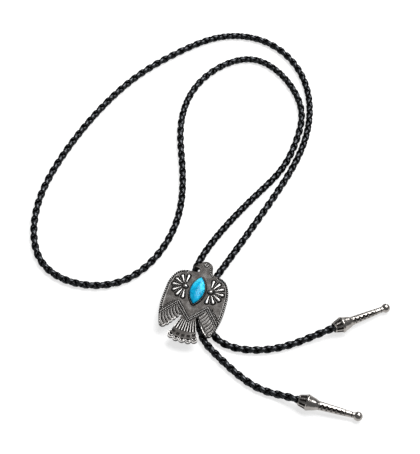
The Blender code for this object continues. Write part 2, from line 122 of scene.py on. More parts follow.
# The concho's petals: how many, the degrees of the first and from one to the next, and their two ends
PETALS = 7
PETAL_FIRST = 91
PETAL_STEP = 30.8
PETAL_REACH = (2.6, 7.0)
CHEVRON_LINES = [
    [(0.0, -10.7), (8.55, -1.1), (17.0, -11.1)],
    [(0.0, -12.3), (8.8, -3.0), (16.4, -12.2)],
]
# The wing's feathers lie evenly from the first to the last, each bowed through root, middle and end
WING_FEATHERS = 7
BOW_STEPS = 8
WING_FEATHER_FIRST = [(8.7, -4.6), (7.9, -7.0), (6.1, -9.0)]
WING_FEATHER_LAST = [(15.9, -12.7), (15.3, -15.3), (13.6, -17.7)]
TAIL_FEATHERS = [
    [(0.0, -13.6), (0.0, -24.2)],
    [(1.2, -13.2), (3.6, -23.9)],
    [(2.4, -12.2), (6.8, -22.5)],
]
# The tail's fan of fine lines: where they meet, the degrees from one to the next and to the fan's sides
FAN_CENTRE_V = 1.7
FAN_STEP = 4.5
FAN_SIDE = 20.3
# How far before a tail feather's end its curved marks are centred
LOBE_DEPTH = 0.7
STAMP_ROW = [(11.2, -2.3), (12.4, -3.7), (13.6, -5.1), (14.8, -6.6), (16.0, -8.1)]
EYE_CENTRE = (0.5, 25.1)
MOUTH_LINE = [(-6.0, 23.1), (-3.4, 23.7)]
NECK_BEADS = [(3.1, 24.2), (3.5, 23.0), (3.8, 21.8), (4.1, 20.6), (4.7, 19.5), (5.8, 18.8)]
STONE_CENTRE_V = 7.4
# Finish of the casting's sides and back, on the relief's scale from recess, -1, to polished, 1
BACK_TONE = -0.1

# Each tip lies on the ground at its ridge and at its ball: x and y of both, in millimetres
TIP_PLACES = {
    "tip_lower": ((75.9, -41.6), (104.4, -41.2)),
    "tip_upper": ((83.3, 9.6), (104.6, 27.8)),
}
# Turned outline of a tip: place as a share of its length, radius as a share of the ridge's radius
TIP_SECTIONS = [
    (0.868, 0.35),
    (0.62, 0.44),
    (0.35, 0.53),
    (0.31, 0.57),
    (0.265, 0.72),
    (0.2, 0.86),
    (0.165, 0.95),
]

# The cord's route in millimetres: x, y and lift of the cord off the ground
CORD_ROUTE = [
    (62.0, -40.7, 1.0),
    (48.0, -39.5, 0.0),
    (18.0, -24.7, 0.0),
    (10.2, -18.2, 0.2),
    (1.2, -3.6, 1.0),
    (-3.4, 1.3, 1.3),
    (-5.15, 6.5, 1.3),
    (-5.25, 13.5, 1.3),
    (-5.7, 24.0, 0.4),
    (14.0, 80.8, 0.0),
    (25.0, 106.0, 0.0),
    (28.1, 131.0, 0.0),
    (23.2, 156.0, 0.0),
    (-11.0, 182.0, 0.0),
    (-31.3, 171.7, 0.0),
    (-43.8, 147.0, 0.0),
    (-43.0, 118.0, 0.0),
    (-33.7, 90.0, 0.0),
    (-26.2, 59.0, 0.0),
    (-28.7, 30.0, 0.0),
    (-44.0, 4.4, 0.0),
    (-70.0, -4.4, 0.0),
    (-93.0, 3.6, 0.0),
    (-107.0, 31.0, 0.0),
    (-107.9, 66.0, 0.0),
    (-84.2, 143.0, 0.0),
    (-61.0, 175.0, 0.0),
    (-37.0, 195.0, 0.0),
    (-10.0, 198.2, 0.0),
    (15.0, 183.0, 0.0),
    (29.4, 156.5, 0.0),
    (32.9, 126.0, 0.0),
    (25.4, 85.0, 0.0),
    (7.9, 24.0, 0.5),
    (5.45, 13.5, 1.3),
    (5.2, 7.0, 1.3),
    (6.5, -0.6, 1.2),
    (19.2, -17.2, 0.0),
    (50.0, -14.0, 0.0),
    (66.5, -3.2, 0.6),
]


class BoloSlideSettings(PropertyGroup):
    """Sizes and finish of the cast slide."""

    width: FloatProperty(
        name="Width", description="Across the wings", default=0.0364, unit="LENGTH")
    length: FloatProperty(
        name="Length", description="From tail to crown", default=0.0531, unit="LENGTH")
    thickness: FloatProperty(
        name="Thickness", description="Plate without its relief", default=0.002, unit="LENGTH")
    grain: FloatProperty(
        name="Mesh step", description="Spacing of the casting's mesh", default=0.00013,
        unit="LENGTH")
    faces: IntProperty(
        name="Triangles", description="Triangles kept on the casting", default=190000)
    recess_colour: FloatVectorProperty(
        name="Recesses", description="Oxide left in the recesses", default=(0.012, 0.011, 0.011),
        subtype="COLOR")
    field_colour: FloatVectorProperty(
        name="Field", description="Grey of the flat field", default=(0.050, 0.0465, 0.044),
        subtype="COLOR")
    relief_colour: FloatVectorProperty(
        name="Relief", description="Polished tops of the relief", default=(0.50, 0.485, 0.47),
        subtype="COLOR")


class BoloStoneSettings(PropertyGroup):
    """Sizes and colours of the cabochon and its bezel."""

    length: FloatProperty(name="Length", description="Tip to tip", default=0.0174, unit="LENGTH")
    width: FloatProperty(name="Width", description="Across the middle", default=0.0079, unit="LENGTH")
    seat_gap: FloatProperty(
        name="Seat gap", description="Between stone and bezel", default=0.0003, unit="LENGTH")
    girdle: FloatProperty(
        name="Girdle", description="Upright edge below the dome", default=0.0007, unit="LENGTH")
    colour: FloatVectorProperty(
        name="Stone", description="Main blue of the stone", default=(0.004, 0.385, 0.665),
        subtype="COLOR")
    light_colour: FloatVectorProperty(
        name="Pale cloud", description="Paler patches", default=(0.07, 0.68, 0.88), subtype="COLOR")
    vein_colour: FloatVectorProperty(
        name="Vein", description="Darker veins", default=(0.0, 0.10, 0.20), subtype="COLOR")


class BoloCordSettings(PropertyGroup):
    """Sizes and finish of the braided cord."""

    diameter: FloatProperty(name="Diameter", description="Over the braid", default=0.004, unit="LENGTH")
    pitch: FloatProperty(
        name="Pitch", description="Length in which a lace goes once round", default=0.0122,
        unit="LENGTH")
    lace_width: FloatProperty(
        name="Lace width", description="Width of one lace", default=0.0028, unit="LENGTH")
    lace_thickness: FloatProperty(
        name="Lace thickness", description="Thickness of one lace", default=0.001, unit="LENGTH")
    steps: IntProperty(name="Steps", description="Mesh rings in one pitch", default=24)
    # The braid is painted near-black at a lace's edges, its inner side and where it runs under the next
    # lace. This is painted shade in the braid's crevices, with the laces' darker dyed edges painted
    # along with it. Only the crowns keep the leather's own grey-black.
    colour: FloatVectorProperty(
        name="Crowns", description="Burnished leather where a lace comes over",
        default=(0.048, 0.0505, 0.054), subtype="COLOR")
    dark_edge_and_painted_shade_colour: FloatVectorProperty(
        name="Edges", description="Dull leather at a lace's edges", default=(0.004, 0.004, 0.0043),
        subtype="COLOR")


class BoloTipSettings(PropertyGroup):
    """Sizes and finish of the two tips."""

    length: FloatProperty(name="Length", description="Mouth to end", default=0.0359, unit="LENGTH")
    ridge_diameter: FloatProperty(
        name="Ridge", description="Diameter at the ridge", default=0.0092, unit="LENGTH")
    ridge_at: FloatProperty(
        name="Ridge place", description="From the mouth", default=0.005, unit="LENGTH")
    ball_diameter: FloatProperty(
        name="Ball", description="Diameter of the end ball", default=0.0052, unit="LENGTH")
    socket_depth: FloatProperty(
        name="Socket", description="Depth of the cord's socket", default=0.0045, unit="LENGTH")
    wall: FloatProperty(name="Wall", description="Wall at the mouth", default=0.0006, unit="LENGTH")
    flutes: IntProperty(name="Flutes", description="Flutes round the collar", default=10)
    silver_colour: FloatVectorProperty(
        name="Silver", description="Antique silver plate", default=(0.36, 0.338, 0.317),
        subtype="COLOR")
    stamp_colour: FloatVectorProperty(
        name="Stamps", description="Oxide in the stamped marks", default=(0.018, 0.016, 0.015),
        subtype="COLOR")


class BoloStageSettings(PropertyGroup):
    """The floor, the light and the camera."""

    camera_place: FloatVectorProperty(
        name="Camera", description="Where the camera stands", default=(0.1071, -0.3432, 0.6615),
        subtype="XYZ", unit="LENGTH")
    camera_aim: FloatVectorProperty(
        name="Aim", description="What the camera looks at", default=(-0.0061, 0.0543, 0.0),
        subtype="XYZ", unit="LENGTH")
    lens: FloatProperty(name="Lens", description="Focal length in millimetres", default=113.3)
    room_light: FloatProperty(name="Room light", description="Light from all around", default=0.22)
    floor_colour: FloatVectorProperty(
        name="Floor", description="Pale floor", default=(0.42, 0.42, 0.42), subtype="COLOR")
    floor_glow: FloatProperty(
        name="Floor glow", description="Light that comes up through the table", default=0.69)


# Soft lights: name, place, size and power, all turned to one place
LIGHT_AIM = (0, 0.05, 0)
SOFT_LIGHTS = [
    ("softbox", (0.12, 0.5, 1.15), 0.7, 11.5),
    ("side", (0.55, 0.3, 0.95), 0.5, 4.8),
    ("key", (0.25, 0.9, 0.62), 0.4, 3.8),
]
# The floor's size, and how far it lies below the ground that the pieces stand on
FLOOR_SIZE = 6.0
FLOOR_DROP = 0.0002


# Shared modelling helpers


def start_fresh():
    """Object mode with nothing selected, ready for a new primitive."""
    if bpy.context.mode != "OBJECT":
        bpy.ops.object.mode_set(mode="OBJECT")
    bpy.ops.object.select_all(action="DESELECT")


def pick(obj):
    start_fresh()
    obj.select_set(True)
    bpy.context.view_layer.objects.active = obj


def settle(obj):
    """The object's place moves into its mesh."""
    pick(obj)
    bpy.ops.object.transform_apply(location=True, rotation=True, scale=True)


def add_object(name, data):
    obj = bpy.data.objects.new(name, data)
    bpy.context.scene.collection.objects.link(obj)
    return obj


def edit_all():
    """Edit mode on the active object, with all of it selected."""
    bpy.ops.object.mode_set(mode="EDIT")
    bpy.ops.mesh.select_all(action="SELECT")


def face_outwards():
    """Turns every face of the mesh in edit mode outwards and goes back to object mode."""
    bpy.ops.mesh.select_all(action="SELECT")
    bpy.ops.mesh.normals_make_consistent(inside=False)
    bpy.ops.object.mode_set(mode="OBJECT")


def finish_modifier(modifier):
    bpy.ops.object.modifier_apply(modifier=modifier.name)


def vertex_places(mesh):
    places = np.empty(len(mesh.vertices) * 3)
    mesh.vertices.foreach_get("co", places)
    return places.reshape(-1, 3)


def set_vertex_places(mesh, places):
    mesh.vertices.foreach_set("co", places.ravel())
    mesh.update()


def set_attribute(mesh, name, values):
    attribute = mesh.attributes.new(name, "FLOAT", "POINT")
    attribute.data.foreach_set("value", values.astype(np.float32))


def dress(obj, material, node):
    """Gives a finished piece its material, in a slot of its own, and its body, and hides the solid that
    it stands for.
    """
    obj.data.materials.clear()
    obj.data.materials.append(material)
    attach(obj, BODY)
    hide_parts(node)


def scaled(colour, share):
    return tuple(share * part for part in colour)


class Finish:
    """A material's node tree, with short calls to add its nodes and to fill their inputs."""

    def __init__(self, name):
        self.material = bpy.data.materials.new(name)
        self.material.use_nodes = True
        self.tree = self.material.node_tree
        self.shader = self.tree.nodes["Principled BSDF"]

    def feed(self, socket, value):
        """Links an output to a socket, or sets the socket to a number, a vector or an opaque colour."""
        if isinstance(value, bpy.types.NodeSocket):
            self.tree.links.new(value, socket)
        elif socket.type == "RGBA":
            socket.default_value = (*value, 1.0)
        else:
            socket.default_value = value

    def fill(self, node, inputs):
        for name, value in inputs.items():
            self.feed(node.inputs[name.replace("_", " ")], value)

    def node(self, kind, **inputs):
        node = self.tree.nodes.new(kind)
        self.fill(node, inputs)
        return node

    def surface(self, **inputs):
        """Fills inputs of the material's own shader."""
        self.fill(self.shader, inputs)

    def coordinates(self, scale=(1, 1, 1), kind="Object"):
        source = self.node("ShaderNodeTexCoord")
        mapping = self.node("ShaderNodeMapping", Vector=source.outputs[kind], Scale=scale)
        return mapping.outputs["Vector"]

    def noise(self, scale, detail, stretch=(1, 1, 1), kind="Object", distortion=0.0):
        place = self.coordinates(stretch, kind)
        node = self.node(
            "ShaderNodeTexNoise", Vector=place, Scale=scale, Detail=detail, Distortion=distortion)
        return node.outputs["Fac"]

    def attribute(self, name):
        node = self.node("ShaderNodeAttribute")
        node.attribute_name = name
        return node.outputs["Fac"]

    def ramp(self, factor, stops):
        node = self.node("ShaderNodeValToRGB", Fac=factor)
        elements = node.color_ramp.elements
        while len(elements) < len(stops):
            elements.new(0.5)
        for element, (place, colour) in zip(elements, stops):
            element.position = place
            element.color = (*colour, 1.0)
        return node.outputs["Color"]

    def span(self, value, low, high, to_low, to_high):
        node = self.node(
            "ShaderNodeMapRange", Value=value, From_Min=low, From_Max=high, To_Min=to_low,
            To_Max=to_high)
        return node.outputs["Result"]

    def mix(self, factor, first, second):
        """Mixes two colours; the node's inputs go by number, because several share a name."""
        node = self.node("ShaderNodeMix")
        node.data_type = "RGBA"
        for number, value in ((0, factor), (6, first), (7, second)):
            self.feed(node.inputs[number], value)
        return node.outputs[2]

    def combine(self, operation, first, second):
        node = self.node("ShaderNodeMath")
        node.operation = operation
        for socket, value in zip(node.inputs, (first, second)):
            self.feed(socket, value)
        return node.outputs[0]

    def bump(self, height, distance, strength=1.0):
        node = self.node("ShaderNodeBump", Height=height, Distance=distance, Strength=strength)
        self.surface(Normal=node.outputs["Normal"])


# The slide


def arc_points(start, end, bulge, step):
    """Points from start up to, not including, end, on an arc that bulges to the right of the way."""
    chord = end - start
    count = max(2, round(chord.length * (1 + 2 * bulge * bulge) / step))
    if abs(bulge) < 0.005:
        return [start.lerp(end, index / count) for index in range(count)]
    side = Vector((chord.y, -chord.x))
    radius = (0.25 + bulge * bulge) / (2 * abs(bulge))
    sign = 1 if bulge > 0 else -1
    centre = start + chord / 2 + side * (bulge - radius * sign)
    arm = start - centre
    turn = 2 * np.arctan2(0.5, radius - abs(bulge)) * sign
    return [centre + Matrix.Rotation(turn * index / count, 2) @ arm for index in range(count)]


def outline_rows():
    right = [(Vector(row[:2]), row[2]) for row in OUTLINE_RIGHT]
    head = [(Vector(row[:2]), row[2]) for row in OUTLINE_HEAD]
    left = [Vector((-row[0], row[1])) for row in reversed(OUTLINE_RIGHT[:-1])]
    # A mirrored stretch is walked backwards, so its bulge belongs to the row before it
    left_bulges = [row[2] for row in reversed(OUTLINE_RIGHT[:-2])] + [OUTLINE_RIGHT[0][2]]
    shoulder = [(Vector(OUTLINE_LEFT_SHOULDER), OUTLINE_RIGHT[-2][2])]
    rows = right + head + shoulder + list(zip(left, left_bulges))
    return rows[:-1]


def outline_points():
    """The drawn outline, anticlockwise from the middle of the tail, with the rope edge's small teeth."""
    rows = outline_rows()
    points = []
    for index, (point, bulge) in enumerate(rows):
        points += arc_points(point, rows[(index + 1) % len(rows)][0], bulge, OUTLINE_STEP)
    across = np.array([point.x for point in points])
    along = np.array([point.y for point in points])
    away, run = distance_to_line(np.abs(across), along, edge_line(ROPE_ROWS))
    on_rope = away < ROPE_NEAR
    ripple = np.where(on_rope, ROPE_RIPPLE * np.cos(2 * pi * run / ROPE_PITCH), 0.0)
    shrink = 1 + (ripple - ROPE_STEP_BACK * on_rope) / np.hypot(across, along)
    return across * shrink, along * shrink


def edge_line(stretch):
    """A stretch of the right half's outline, as drawn points."""
    rows = [(Vector(row[:2]), row[2]) for row in OUTLINE_RIGHT[stretch]]
    points = []
    for (point, bulge), (following, _) in zip(rows, rows[1:]):
        points += arc_points(point, following, bulge, EDGE_STEP)
    return [tuple(point) for point in points + [rows[-1][0]]]


def distance_to_line(across, along, line):
    """Distance to a drawn line, and the length run along it to the nearest place."""
    nearest = np.full(across.shape, 1e9)
    run = np.zeros(across.shape)
    walked = 0.0
    for (ax, ay), (bx, by) in zip(line, line[1:]):
        length = np.hypot(bx - ax, by - ay)
        share = np.clip(((across - ax) * (bx - ax) + (along - ay) * (by - ay)) / length ** 2, 0, 1)
        away = np.hypot(across - ax - share * (bx - ax), along - ay - share * (by - ay))
        closer = away < nearest
        nearest = np.where(closer, away, nearest)
        run = np.where(closer, walked + share * length, run)
        walked += length
    return nearest, run


def bowed(points):
    """A smooth line through a root, a middle and an end."""
    (ax, ay), (bx, by), (cx, cy) = points
    line = []
    for index in range(BOW_STEPS + 1):
        t = index / BOW_STEPS
        first, second, third = (1 - t) * (1 - 2 * t), 4 * t * (1 - t), t * (2 * t - 1)
        line.append((first * ax + second * bx + third * cx, first * ay + second * by + third * cy))
    return line


def rounded(distance, half_width):
    """Profile of a rounded ridge: 1 on its line, 0 at its foot."""
    return np.sqrt(np.clip(1 - (distance / half_width) ** 2, 0, 1))


def soft_step(value, low, high):
    share = np.clip((value - low) / (high - low), 0, 1)
    return share * share * (3 - 2 * share)


def pulse(turns):
    """Rises to 1 and falls to 0, once in each turn."""
    return 0.5 + 0.5 * np.cos(2 * pi * turns)


def out_and_across(x, y, angle):
    """How far points lie out along a direction, and to its left."""
    return x * cos(angle) + y * sin(angle), -x * sin(angle) + y * cos(angle)


def oval_radius(half_length, half_width):
    """Radius of the two arcs that meet in a pointed oval."""
    return (half_length ** 2 + half_width ** 2) / (2 * half_width)


class Relief:
    """Height in drawn millimetres and finish of the casting's face, ornament by ornament."""

    def __init__(self, across, along):
        self.across = across
        self.side = np.abs(across)
        self.along = along
        self.height = np.zeros(across.shape)
        self.tone = np.zeros(across.shape)

    def raise_to(self, height, tone, inside=True):
        """Raises the face to a height where that is higher; tone is the finish of the highest place."""
        higher = (height > np.maximum(self.height, 0.01)) & inside
        top = height.max()
        self.height = np.where(higher, height, self.height)
        self.tone = np.where(higher, tone * np.clip(height / top, 0, 1) ** 0.7, self.tone)

    def sink(self, share, depth, tone=-1.0):
        """Cuts the face down by a depth, as far as the share goes."""
        self.height = self.height - share * depth
        self.tone = self.tone + (tone - self.tone) * share

    def crest(self, share, rise, tone):
        """Adds a thin raised line to the face as it is, as far as the share goes."""
        self.sink(share, -rise, tone)

    def distance(self, line):
        """Distance to a line of the right half or to its mirror image, and the length run along it."""
        return distance_to_line(self.side, self.along, line)

    def add_rope_edge(self):
        away, run = self.distance(edge_line(ROPE_ROWS))
        near = away < 2.2
        strand = pulse(run / ROPE_PITCH - (away - 0.5) * 0.45)
        rope = 0.75 * rounded(away - 0.5, 0.6) * (0.35 + 0.65 * strand ** 0.6)
        self.sink(rounded(away - 1.15, 0.3) * near, depth=0.22)
        self.raise_to(rope, tone=0.8, inside=near)
        self.tone = np.where(near & (away < 1.1) & (strand < 0.3), -1.0, self.tone)
        self.raise_to(0.2 * rounded(away - 1.6, 0.2), tone=0.4, inside=near)

    def add_concho(self):
        """Petals like a fan of rays with thin ribs between them, round an oval dome."""
        x = self.side - CONCHO_CENTRE[0]
        y = self.along - CONCHO_CENTRE[1]
        petals = np.zeros(x.shape)
        bed = np.zeros(x.shape)
        ribs = np.zeros(x.shape)
        near, far = PETAL_REACH
        for index in range(PETALS):
            angle = radians(PETAL_FIRST - PETAL_STEP * index)
            out, across = out_and_across(x, y, angle)
            width = 0.3 + 0.75 * np.clip((out - 2.3) / 4.4, 0, 1)
            tail = np.maximum(out - far, 0.0)
            head = np.maximum(near - out, 0.0)
            gap = np.sqrt((across / width) ** 2 + (tail / 0.95) ** 2 + (head / 0.35) ** 2)
            petals = np.maximum(petals, np.where(out > 0, rounded(gap, 1.0), 0.0))
            bed = np.maximum(bed, np.where(out > 0, 1 - soft_step(gap, 1.15, 1.6), 0.0))
            out, across = out_and_across(x, y, angle - radians(PETAL_STEP / 2))
            on_rib = (out > 3.6) & (out < 7.6) & (index < PETALS - 1)
            ribs = np.maximum(ribs, np.where(on_rib, rounded(across, 0.2), 0.0))
        self.sink(bed, depth=0.36)
        self.raise_to(0.95 * petals - 0.3, tone=1.15)
        self.height = np.where((ribs > 0) & (petals <= 0), self.height + 0.32 * ribs, self.height)
        self.tone = np.where((ribs > 0.5) & (petals <= 0), 0.3, self.tone)
        out, across = out_and_across(x, y, radians(15))
        gap = np.hypot(out / 1.65, across / 1.25)
        self.sink((1 - soft_step(gap, 1.1, 1.35)) * (np.hypot(x, y) < 2.6), depth=0.3)
        self.raise_to(1.5 * rounded(gap, 1.0) - 0.25, tone=1.1)

    def add_chevrons(self):
        for line, half_width in zip(CHEVRON_LINES, (0.5, 0.42)):
            away, run = self.distance(line)
            bead = 0.35 + 0.65 * pulse(run / 1.15)
            self.sink(rounded(away, half_width + 0.3), depth=0.2)
            self.raise_to(0.55 * rounded(away, half_width) * bead - 0.1, tone=0.85)

    def add_stamps(self):
        """A row of small half rings with a dot in each, between the chevron and the wing's edge."""
        for x, y in STAMP_ROW:
            out = (self.side - x) * 0.75 + (self.along - y) * 0.66
            across = -(self.side - x) * 0.66 + (self.along - y) * 0.75
            reach = np.hypot(out, across)
            self.sink(rounded(reach - 0.55, 0.24) * (out > -0.1), depth=0.22)
            self.raise_to(0.28 * rounded(reach, 0.28), tone=0.8)

    def wing_line(self, place):
        """Distance to the bowed line at a place in the row of feathers, where the first one is 0."""
        share = place / (WING_FEATHERS - 1)
        pairs = zip(WING_FEATHER_FIRST, WING_FEATHER_LAST)
        line = bowed([(a[0] + (b[0] - a[0]) * share, a[1] + (b[1] - a[1]) * share) for a, b in pairs])
        return self.distance(line)

    def add_wing_feathers(self):
        """Rounded feathers with fine barbs, then the grooves between them and a line beside each."""
        for feather in range(WING_FEATHERS):
            away, run = self.wing_line(feather)
            barb = 0.03 * np.cos(2 * pi * (run / 0.62 + away * 0.9))
            self.raise_to(0.42 * rounded(away, 1.35) + barb, tone=0.1)
        for feather in range(WING_FEATHERS + 1):
            away, _ = self.wing_line(feather - 0.5)
            self.sink(rounded(away, 0.2), depth=0.24)
            away, _ = self.wing_line(feather - 0.28)
            self.crest(rounded(away, 0.2) * (feather < WING_FEATHERS), rise=0.07, tone=0.5)

    def add_tail(self):
        """The fan of fine lines, then each feather's chequered stamp and the curved marks at its end."""
        fan = np.degrees(np.arctan2(self.across, FAN_CENTRE_V - self.along))
        reach = np.hypot(self.across, FAN_CENTRE_V - self.along)
        within = soft_step(reach, 13.6, 14.4) * (1 - soft_step(reach, 20.4, 20.9))
        on_fan = within * (np.abs(fan) < FAN_SIDE)
        line = np.cos(2 * pi * fan / FAN_STEP)
        self.crest(np.clip(line, 0, 1) * on_fan, rise=0.16, tone=0.72)
        self.sink(np.clip(-line, 0, 1) ** 0.7 * on_fan, depth=0.2)
        for (ax, ay), (bx, by) in TAIL_FEATHERS:
            length = np.hypot(bx - ax, by - ay)
            run = ((self.side - ax) * (bx - ax) + (self.along - ay) * (by - ay)) / length
            across = np.abs((self.side - ax) * (by - ay) - (self.along - ay) * (bx - ax)) / length
            on_feather = (across < 1.9) & (run > 0)
            stamp = (np.abs(run - length * 0.77) < 0.75) & (across < 0.95)
            teeth = 0.5 + 0.5 * np.cos(2 * pi * across / 0.95) * np.cos(2 * pi * run / 0.95)
            self.sink(stamp * teeth, depth=0.2)
            beyond = run - length + LOBE_DEPTH
            reach = np.hypot(across, beyond)
            bowl = soft_step(beyond, -0.12, 0.12) * on_feather
            self.sink((1 - soft_step(reach, 0.85, 1.0)) * bowl, depth=0.28)
            self.crest(rounded(reach - 1.24, 0.26) * bowl, rise=0.14, tone=1.2)
            self.sink(rounded(reach - 1.68, 0.26) * bowl, depth=0.3)

    def add_bright_rim(self):
        """The worn edge of the tail's lobes and of the wing's scalloped inner side."""
        away, _ = self.distance(edge_line(TAIL_RIM_ROWS))
        self.raise_to(0.22 * rounded(away - 0.12, 0.32), tone=1.1)
        away, _ = self.distance(edge_line(WING_RIM_ROWS))
        self.raise_to(0.16 * rounded(away - 0.1, 0.36), tone=0.95)

    def add_head(self):
        ring = np.hypot(self.across - EYE_CENTRE[0], self.along - EYE_CENTRE[1])
        self.sink(1 - soft_step(ring, 1.2, 1.4), depth=0.28)
        self.raise_to(0.42 * rounded(ring - 0.9, 0.22), tone=1.0)
        self.raise_to(0.5 * rounded(ring, 0.42), tone=1.1)
        for x, y in NECK_BEADS:
            away = np.hypot(self.across - x, self.along - y)
            self.sink(rounded(away, 0.62), depth=0.15)
            self.raise_to(0.6 * rounded(away, 0.48) - 0.1, tone=0.95)
        away, _ = distance_to_line(self.across, self.along, MOUTH_LINE)
        self.sink(rounded(away, 0.17), depth=0.2)

    def add_bezel(self, length, width, gap):
        """A thin wall round the stone's pointed oval, with a shallow groove outside it."""
        half_length, half_width = length / 2, width / 2
        radius = oval_radius(half_length, half_width)
        along = self.along - STONE_CENTRE_V
        away = np.hypot(self.side + radius - half_width, along) - radius
        inside_length = np.abs(along) < half_length + 1.1
        tip_away = np.hypot(self.side, np.abs(along) - half_length) * 0.8
        away = np.where(np.abs(along) > half_length, np.maximum(away, tip_away), away)
        self.sink(rounded(away - gap - 0.65, 0.3) * inside_length, depth=0.12, tone=-0.4)
        wall = soft_step(away, gap - 0.05, gap + 0.08) * (1 - soft_step(away, gap + 0.32, gap + 0.5))
        self.height = np.where(away < gap + 0.5, 0.0, self.height)
        self.tone = np.where(away < gap, -0.6, self.tone)
        self.raise_to(0.9 * wall, tone=0.12)


def slide_relief(places, slide, stone):
    """Height in metres and finish, at points given in metres."""
    across = places[:, 0] * DRAWN_WIDTH / slide.width
    along = places[:, 1] * DRAWN_LENGTH / slide.length + DRAWN_MIDDLE_V
    relief = Relief(across, along)
    relief.add_rope_edge()
    relief.add_wing_feathers()
    relief.add_tail()
    relief.add_bright_rim()
    relief.add_stamps()
    relief.add_chevrons()
    relief.add_concho()
    relief.add_head()
    relief.add_bezel(stone.length / MM, stone.width / MM, stone.seat_gap / MM)
    return relief.height * MM, np.clip(relief.tone, -1, 1.2)


def cast_silver(slide):
    finish = Finish("oxidised_cast_silver")
    tone = finish.span(finish.attribute("tone"), -1.0, 1.0, 0.0, 1.0)
    blotch = finish.span(finish.noise(260.0, 5.0), 0.25, 0.75, -0.06, 0.06)
    worn = finish.combine("ADD", tone, blotch)
    colour = finish.ramp(worn, [
        (0.0, slide.recess_colour),
        (0.3, scaled(slide.field_colour, 0.45)),
        (0.5, slide.field_colour),
        (0.72, scaled(slide.relief_colour, 0.5)),
        (1.0, slide.relief_colour),
    ])
    finish.surface(Base_Color=colour, Metallic=1.0, Roughness=finish.span(worn, 0.0, 1.0, 0.6, 0.34))
    finish.bump(finish.noise(1900.0, 3.0), 0.00005, 0.5)
    return finish.material


class BOLO_OT_slide(Operator):
    """Cast thunderbird plate with its relief, in place of the plain solid"""

    bl_idname = "bolo.slide"
    bl_label = "Cast Slide"

    def execute(self, context):
        slide, stone = context.scene.bolo_slide, context.scene.bolo_stone
        across, along = outline_points()
        scale_x = slide.width / DRAWN_WIDTH
        scale_y = slide.length / DRAWN_LENGTH
        start_fresh()
        bpy.ops.mesh.primitive_circle_add(vertices=len(across), radius=slide.width / 2, fill_type="NGON")
        plate = context.object
        plate.name = "slide_casting"
        places = np.column_stack((
            across * scale_x, (along - DRAWN_MIDDLE_V) * scale_y, np.full(len(across), PLATE_BACK)))
        set_vertex_places(plate.data, places)
        edit_all()
        bpy.ops.mesh.extrude_region_move(TRANSFORM_OT_translate={"value": (0, 0, slide.thickness)})
        face_outwards()
        plate.data.remesh_voxel_size = slide.grain
        plate.data.remesh_voxel_adaptivity = 0.0
        bpy.ops.object.voxel_remesh()
        smooth = plate.modifiers.new("cast_edges", "SMOOTH")
        smooth.iterations = 3
        finish_modifier(smooth)
        places = vertex_places(plate.data)
        height, _ = slide_relief(places, slide, stone)
        face_share = np.clip((places[:, 2] - PLATE_BACK) / slide.thickness, 0, 1) ** 2
        places[:, 2] += height * face_share
        set_vertex_places(plate.data, places)
        triangles = sum(len(face.vertices) - 2 for face in plate.data.polygons)
        thin = plate.modifiers.new("even_out", "DECIMATE")
        thin.ratio = min(1.0, slide.faces / triangles)
        finish_modifier(thin)
        places = vertex_places(plate.data)
        _, tone = slide_relief(places, slide, stone)
        front = soft_step(
            places[:, 2], PLATE_BACK + 0.6 * slide.thickness, PLATE_BACK + 0.95 * slide.thickness)
        set_attribute(plate.data, "tone", tone * front + BACK_TONE * (1 - front))
        bpy.ops.object.shade_smooth()
        dress(plate, cast_silver(slide), "slide_plate")
        return {"FINISHED"}


# The stone


def turquoise(stone):
    finish = Finish("polished_turquoise")
    clouds = finish.noise(170.0, 2.0, (1, 0.6, 1), distortion=0.6)
    colour = finish.ramp(clouds, [
        (0.30, scaled(stone.colour, 0.7)),
        (0.47, stone.colour),
        (0.62, stone.light_colour),
        (0.8, stone.colour),
    ])
    # The veins wander, because noise shifts the places at which they are read
    warp = finish.node("ShaderNodeTexNoise", Vector=finish.coordinates(), Scale=420.0, Detail=3.0)
    shifted = finish.mix(0.0016, finish.coordinates(), warp.outputs["Color"])
    veins = finish.node("ShaderNodeTexVoronoi", Vector=shifted, Scale=270.0)
    veins.feature = "DISTANCE_TO_EDGE"
    patchy = finish.span(finish.noise(190.0, 2.0), 0.44, 0.56, 0.0, 0.8)
    thin_vein = finish.span(veins.outputs["Distance"], 0.0, 0.06, 1.0, 0.0)
    vein = finish.combine("MULTIPLY", thin_vein, patchy)
    finish.surface(
        Base_Color=finish.mix(vein, colour, stone.vein_colour), Roughness=0.2, Specular_IOR_Level=0.15,
        Subsurface_Weight=0.08, Subsurface_Radius=(0.001, 0.002, 0.003))
    finish.bump(finish.combine("MULTIPLY", vein, -0.5), 0.00004)
    return finish.material


# Length of the stone's rounded crown as a share of its pointed foot's
CROWN_LENGTH = 0.93


